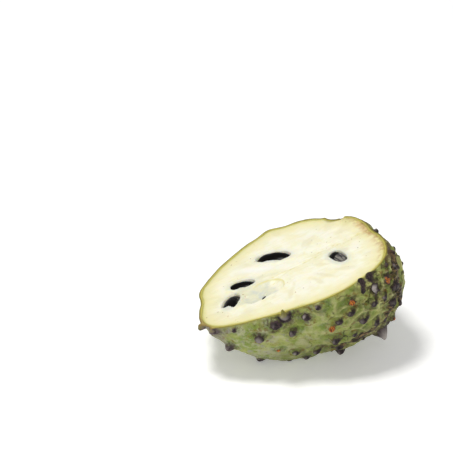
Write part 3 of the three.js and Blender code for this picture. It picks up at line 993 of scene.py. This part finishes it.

# %% [markdown]
# ## The skin's finish
# Ripe skin is grey-green under a dull bloom, with yellower patches, and in the dips a darker, fresher
# green that is partly the skin's own colour and partly painted shade. Each knob is dark purple-grey with
# a painted highlight on its side towards the light, some are rubbed open to orange-brown cork, and
# towards the stem end brown cracks follow the crests. Painted shade darkens the hollow above each knob
# and the skin towards the bottom, the crests carry a painted highlight, and a grey-lilac painted sheen
# lies over the blossom half. The masks that place all this come from the mesh; noise in the fruit's own
# millimetres breaks them up.

# %% Skin material
def skin_material():
    material, shader, paint = new_material("custard_apple_skin")
    place = stored(paint, "fruit", "Vector")
    axes = place.node("ShaderNodeSeparateXYZ", {}, {0: place}, output="X")
    tip = stored(paint, "tip")
    depth = stored(paint, "depth")
    stemwards = axes.rise(-5, 42)
    patch = place.noise(5, 5, 0.6)
    streak = place.stretched(0.3, 1, 1).noise(3.2, 5, 0.6)
    speck = place.noise(0.55, 3, 0.7)

    # the dips: a darker, fresher green, partly the skin's own colour and partly painted shade
    deep = stored(paint, "pit").rise(0.2, 0.9) * patch.rise(0.3, 0.55)
    bloom = (1 - axes.rise(-42, 14) * 0.65) * place.noise(5, 5, 0.65).rise(0.42, 0.64)
    # painted sheen: grey-lilac patches that stand for light glancing off the bloom
    sheen = (1 - axes.rise(-40, 20)) * place.noise(3.5, 4, 0.6).rise(0.52, 0.68)
    # painted shade: the hollow above each knob is coloured dark olive, strongest towards the stem end
    pocket = stored(paint, "pocket") + (place.noise(2, 4, 0.6) - 0.5) * 0.7
    # painted highlight: the crests are coloured pale where light catches them, broken up by noise
    crest_highlight = stored(paint, "crest").rise(0.15, 0.75) * place.noise(7, 3).rise(0.42, 0.62)
    scurf = place.noise(2.0, 7, 0.8).rise(0.56, 0.62) * place.noise(12, 2).rise(0.42, 0.58)
    # painted shade: the skin is coloured darker olive towards the bottom, where less light reaches
    shaded = depth.rise(16, 36) * place.noise(7, 4, 0.6).rise(0.3, 0.6)
    swirl = {0: place.noise_vector(4), 1: (5, 5, 5), 2: place}
    bent = place.node("ShaderNodeVectorMath", {"operation": "MULTIPLY_ADD"}, swirl)
    to_edge = {"feature": "DISTANCE_TO_EDGE"}
    net = bent.node("ShaderNodeTexVoronoi", to_edge, {"Vector": bent, "Scale": 0.13}, output="Distance")
    cracks = net.rise(0.04, 0.01) * place.noise(8, 2).rise(0.5, 0.62) * axes.rise(-30, 10)
    foot = tip.rise(0.02, 0.2) * place.noise(1.6, 3).rise(0.36, 0.6)
    ring = tip.rise(0.015, 0.03) * tip.rise(0.09, 0.05) * place.noise(3, 2).rise(0.5, 0.6)
    ragged_scar = stored(paint, "scar") + (place.noise(2.2, 5, 0.7) - 0.5) * 1.3
    scar_lines = place.stretched(0.3, 1, 1).noise(1.1, 4, 0.7)
    scarred = scar_lines.rise(0.46, 0.66).over(colour(36, 24, 19), colour(158, 128, 84))
    uneven_tip = tip + (place.noise(1.1, 3) - 0.5) * 0.7
    horn = place.noise(1.1, 4, 0.6).rise(0.4, 0.6).over(colour(22, 13, 16), colour(68, 50, 52))
    # paler knobs: real grey bloom, and a painted highlight on their side towards the light
    horn = layered(horn, [(stored(paint, "pale").rise(0.2, 0.8) * 0.85, (190, 180, 174))])
    rubbed = stored(paint, "orange") + (place.noise(0.8, 2) - 0.5) * 0.9
    cork = place.noise(0.7, 3).rise(0.4, 0.6).over(colour(206, 120, 40), colour(108, 54, 28))
    blossom_end = axes.rise(-44, -54) * place.noise(2, 3).rise(0.3, 0.55)
    under_rim = depth.rise(1.4, 0.1) * place.noise(6, 2).rise(0.4, 0.6)
    stem_rim = axes.rise(29, 37) * depth.rise(5, 0.5) * place.noise(3, 3).rise(0.32, 0.5)
    inset = stored(paint, "inset") + (place.noise(4, 2) - 0.5) * 0.5
    off_knob = tip.rise(0.3, 0.1)
    green = place.noise(9, 4).rise(0.34, 0.66).over(colour(176, 182, 100), colour(132, 152, 58))
    layers = [
        (patch.rise(0.46, 0.68), (194, 190, 98)),
        (deep * (0.7 - stemwards * 0.3), (84, 116, 16)),
        (bloom * 0.85, (182, 186, 150)),
        (sheen * 0.6, (172, 164, 160)),
        (pocket.rise(0.45, 0.85) * (0.4 + stemwards * 0.58), (40, 42, 18)),
        (crest_highlight * 0.7, (220, 218, 156)),
        (scurf * (0.75 + stemwards * 0.1), (88, 66, 34)),
        (speck.rise(0.62, 0.7) * 0.6, (66, 56, 30)),
        (streak.rise(0.55, 0.6) * stemwards * 0.75, (52, 36, 30)),
        (shaded * 0.6, (96, 98, 50)),
        (cracks * 0.85, (58, 40, 26)),
        (foot * 0.8, (84, 66, 46)),
        (ring * 0.7, (122, 88, 34)),
        (ragged_scar.rise(0.3, 0.62) * 0.94, scarred),
        (uneven_tip.rise(0.2, 0.5), horn),
        (rubbed.rise(0.35, 0.55), cork),
        (blossom_end * 0.8, (122, 108, 108)),
        (under_rim * 0.6, (150, 144, 66)),
        (stem_rim * 0.85, (88, 62, 40)),
        (inset.rise(0.02, 0.2) * off_knob, (140, 128, 42)),
        (inset.rise(0.4, 1.0) * off_knob, (208, 198, 100)),
        (axes.rise(-50, -54) * inset.rise(0.02, 0.2) * 0.6, (150, 118, 78)),
    ]
    green = layered(green, layers)

    connect(shader, green, "Base Color")
    connect(shader, 0.42 + patch * 0.22 + tip * 0.08, "Roughness")
    fine = speck * 0.5 + place.noise(1.4, 4) * 0.9 + streak * stemwards * 0.8 - cracks * 0.6
    connect(shader, bump(fine, 0.9, 0.0012), "Normal")
    shader.inputs["Specular IOR Level"].default_value = 0.35
    shader.inputs["Subsurface Weight"].default_value = 0.06
    shader.inputs["Subsurface Radius"].default_value = (0.4, 0.6, 0.2)
    shader.inputs["Subsurface Scale"].default_value = 0.002
    print("skin:", len(paint.tree.nodes), "nodes")
    return material


rind.data.materials.append(skin_material())


# %% [markdown]
# ## The flesh's finish
# The pulp is moist and lets light in a little way, which softens every shadow on it, so it has some
# subsurface light. It is cream in the middle, yellow-green for a few millimetres inside the rind, a
# little brown at the stem end, and bluish where it is thin over a dark seed. In and beside the open
# hollow it is greyer, and inside the hollow painted shade makes it greyer and bluer still.

# %% Flesh material
def flesh_material():
    material, shader, paint = new_material("custard_apple_flesh")
    place = stored(paint, "fruit", "Vector")
    along = place.node("ShaderNodeSeparateXYZ", {}, {0: place}, output="X")
    rim = stored(paint, "rim")
    core = stored(paint, "core")
    cloud = place.noise(9, 3)
    fibre = place.stretched(0.18, 1, 1).noise(1.3, 4, 0.6)
    fleck = place.stretched(0.4, 1, 1).noise(1.8, 3, 0.6)

    wavy_rim = rim + (cloud - 0.5) * 4
    stem_end = along.rise(33, 45) * place.noise(5, 4).rise(0.4, 0.6)
    bruise = along.rise(28, 36) * rim.rise(4.5, 0.5) * place.noise(3, 4).rise(0.42, 0.66)
    # greyer pulp in and beside the open hollow, broken up by noise
    grey_haze = stored(paint, "haze") * place.noise(5, 3, 0.6).rise(0.15, 0.55)
    # painted shade: inside the open hollow the pulp is coloured greyer and bluer
    dish_shade = stored(paint, "dish") * place.noise(6, 2).rise(0.38, 0.62)
    pulp = cloud.rise(0.4, 0.66).over(colour(253, 250, 228), colour(246, 241, 206))
    layers = [
        (fibre.rise(0.5, 0.72) * 0.5, (238, 231, 188)),
        ((stored(paint, "spokes") * 0.5 + cloud).rise(0.6, 1.1) * 0.6, (233, 228, 194)),
        (core * fibre.rise(0.4, 0.65) * 0.6, (230, 222, 166)),
        (core * fleck.rise(0.58, 0.66) * 0.7, (206, 200, 110)),
        (wavy_rim.rise(12, 1) * 0.75, (238, 229, 170)),
        (wavy_rim.rise(3, 0) * 0.6, (224, 214, 130)),
        ((rim + (cloud - 0.5) * 1.5).rise(1.1, 0.2) * 0.7, (200, 194, 92)),
        (stem_end * rim.rise(9, 0) * 0.9, (216, 184, 132)),
        (bruise * 0.7, (176, 132, 78)),
        (stored(paint, "glow") * 0.6, (212, 217, 210)),
        (stored(paint, "milky") * 0.8, (254, 252, 242)),
        (grey_haze * 0.85, (224, 223, 194)),
        (grey_haze * dish_shade * 0.75, (202, 209, 206)),
        (stored(paint, "dish_edge") * 0.8, (222, 212, 130)),
        (stored(paint, "dent") * 0.6, (214, 208, 146)),
        (stored(paint, "shoulder") * cloud.rise(0.3, 0.6) * 0.7, (216, 212, 150)),
        (place.noise(1.6, 1, 0.4).rise(0.75, 0.78) * 0.8, (150, 124, 52)),
    ]
    pulp = layered(pulp, layers)

    connect(shader, pulp, "Base Color")
    connect(shader, 0.34 + cloud * 0.16 + fibre * 0.12, "Roughness")
    connect(shader, bump(fibre * 0.7 + place.noise(0.7, 3) * 0.4, 0.35, 0.0006), "Normal")
    shader.inputs["Subsurface Weight"].default_value = 0.35
    shader.inputs["Subsurface Radius"].default_value = (1.0, 0.75, 0.4)
    shader.inputs["Subsurface Scale"].default_value = 0.004
    shader.inputs["Specular IOR Level"].default_value = 0.45
    print("pulp:", len(paint.tree.nodes), "nodes")
    return material


flesh.data.materials.append(flesh_material())


# %% [markdown]
# ## The seeds' finish
# The seed coat is hard, nearly black and glossy, with a thin clear layer over it. The membrane is a dull
# grey-brown film with lines along the seed, and the scar at the tip is paler brown.

# %% Seed material
def seed_material():
    material, shader, paint = new_material("custard_apple_seed")
    bean = stored(paint, "bean", "Vector")
    film = stored(paint, "film")
    lines = bean.stretched(0.12, 1, 1).noise(0.8, 3, 0.5)
    coat = bean.noise(3, 3).rise(0.4, 0.7).over(colour(5, 4, 4), colour(16, 12, 11))
    membrane = lines.rise(0.42, 0.58).over(colour(70, 68, 70), colour(142, 138, 130))
    ragged = film + (bean.noise(2, 3) - 0.5) * 0.7
    covered = ragged.rise(0.45, 0.7)
    coat = layered(coat, [(covered * 0.85, membrane), (stored(paint, "scar") * 0.7, (96, 72, 52))])
    connect(shader, coat, "Base Color")
    connect(shader, 0.24 + covered * 0.3 + bean.noise(0.8, 3) * 0.12, "Roughness")
    connect(shader, bump(bean.stretched(0.3, 1, 1).noise(0.6, 3), 0.25, 0.0004), "Normal")
    shader.inputs["IOR"].default_value = 1.35
    shader.inputs["Specular IOR Level"].default_value = 0.1
    shader.inputs["Coat Weight"].default_value = 0.06
    shader.inputs["Coat Roughness"].default_value = 0.12
    print("seed coat:", len(paint.tree.nodes), "nodes")
    return material


seed_coat = seed_material()
for piece in seeds:
    piece.data.materials.append(seed_coat)

# %% [markdown]
# ## Floor, light and camera
# One panel nearly overhead, a weak one from the front left and an even white sky light the half, and a
# pale floor that glows a little, as a light table does, keeps the shadow faint. The camera looks down on
# the cut face at a low angle through a very long lens, which draws the near and the far rim at one scale,
# as in the photograph.

# %% Floor
FLOOR_SIZE = 6.0
TABLE_GLOW = 0.28  # a light table: it keeps the shadow faint


def make_floor():
    half = FLOOR_SIZE / 2
    corners = [(-half, -half, 0), (half, -half, 0), (half, half, 0), (-half, half, 0)]
    mesh = bpy.data.meshes.new("floor")
    mesh.from_pydata(corners, [], [(0, 1, 2, 3)])
    floor = bpy.data.objects.new("floor", mesh)
    bpy.context.collection.objects.link(floor)
    material, shader, _ = new_material("pale_floor")
    shader.inputs["Base Color"].default_value = colour(246, 246, 246)
    shader.inputs["Roughness"].default_value = 0.7
    shader.inputs["Emission Color"].default_value = (1, 1, 1, 1)
    shader.inputs["Emission Strength"].default_value = TABLE_GLOW
    mesh.materials.append(material)
    floor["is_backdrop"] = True
    print("floor", FLOOR_SIZE, "m across")
    return floor


floor = make_floor()


# %% Lights
def make_panel(name, place, size, power, tint):
    """A square light that faces the fruit."""
    data = bpy.data.lights.new(name, "AREA")
    data.shape = "SQUARE"
    data.size = size
    data.energy = power
    data.color = tint
    panel = bpy.data.objects.new(name, data)
    panel.location = place
    panel.rotation_euler = (Vector((0, 0, 0.03)) - Vector(place)).to_track_quat("-Z", "Y").to_euler()
    bpy.context.collection.objects.link(panel)
    print(name, power, "W")


make_panel("key_panel", (-0.3, 0.0, 1.15), 0.3, 9.3, (1.0, 0.99, 0.97))
make_panel("side_panel", (-0.2, -0.9, 0.8), 0.4, 1.0, (0.98, 0.99, 1.0))
world = bpy.data.worlds.new("studio")
bpy.context.scene.world = world
world.use_nodes = True
sky = world.node_tree.nodes["Background"]
sky.inputs["Color"].default_value = (1, 1, 1, 1)
sky.inputs["Strength"].default_value = 0.33
bpy.context.scene.view_settings.view_transform = "Standard"

# %% Camera
AZIMUTH = math.radians(-25)
ELEVATION = math.radians(28.4)
CAMERA_DISTANCE = 4.0
SENSOR_WIDTH = 36
IMAGE_PIXELS = 453
PIXELS_PER_MM = 2.057
FACE_CENTRE_PIXEL = (292, 268)  # where the middle of the cut face shows in the photograph


def make_camera():
    level = math.cos(ELEVATION)
    toward = Vector((math.sin(AZIMUTH) * level, -math.cos(AZIMUTH) * level, math.sin(ELEVATION)))
    right = Vector((math.cos(AZIMUTH), math.sin(AZIMUTH), 0))
    up = toward.cross(right)
    half_image = IMAGE_PIXELS / 2
    aside = (FACE_CENTRE_PIXEL[0] - half_image) / PIXELS_PER_MM * MM
    below = (FACE_CENTRE_PIXEL[1] - half_image) / PIXELS_PER_MM * MM
    target = Vector(laid_down(np.zeros(3))) - right * aside + up * below
    data = bpy.data.cameras.new("camera")
    data.sensor_width = SENSOR_WIDTH
    data.lens = SENSOR_WIDTH * CAMERA_DISTANCE / (IMAGE_PIXELS / PIXELS_PER_MM * MM)
    camera = bpy.data.objects.new("camera", data)
    camera.location = target + toward * CAMERA_DISTANCE
    camera.rotation_euler = (-toward).to_track_quat("-Z", "Y").to_euler()
    bpy.context.collection.objects.link(camera)
    bpy.context.scene.camera = camera
    print("lens", round(data.lens, 1), "mm at", CAMERA_DISTANCE, "m")


make_camera()

# %% Sizes and the end
visual_box = [list(corner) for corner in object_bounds()]
print("visual box", visual_box, f"{time.time() - started:.1f} s")
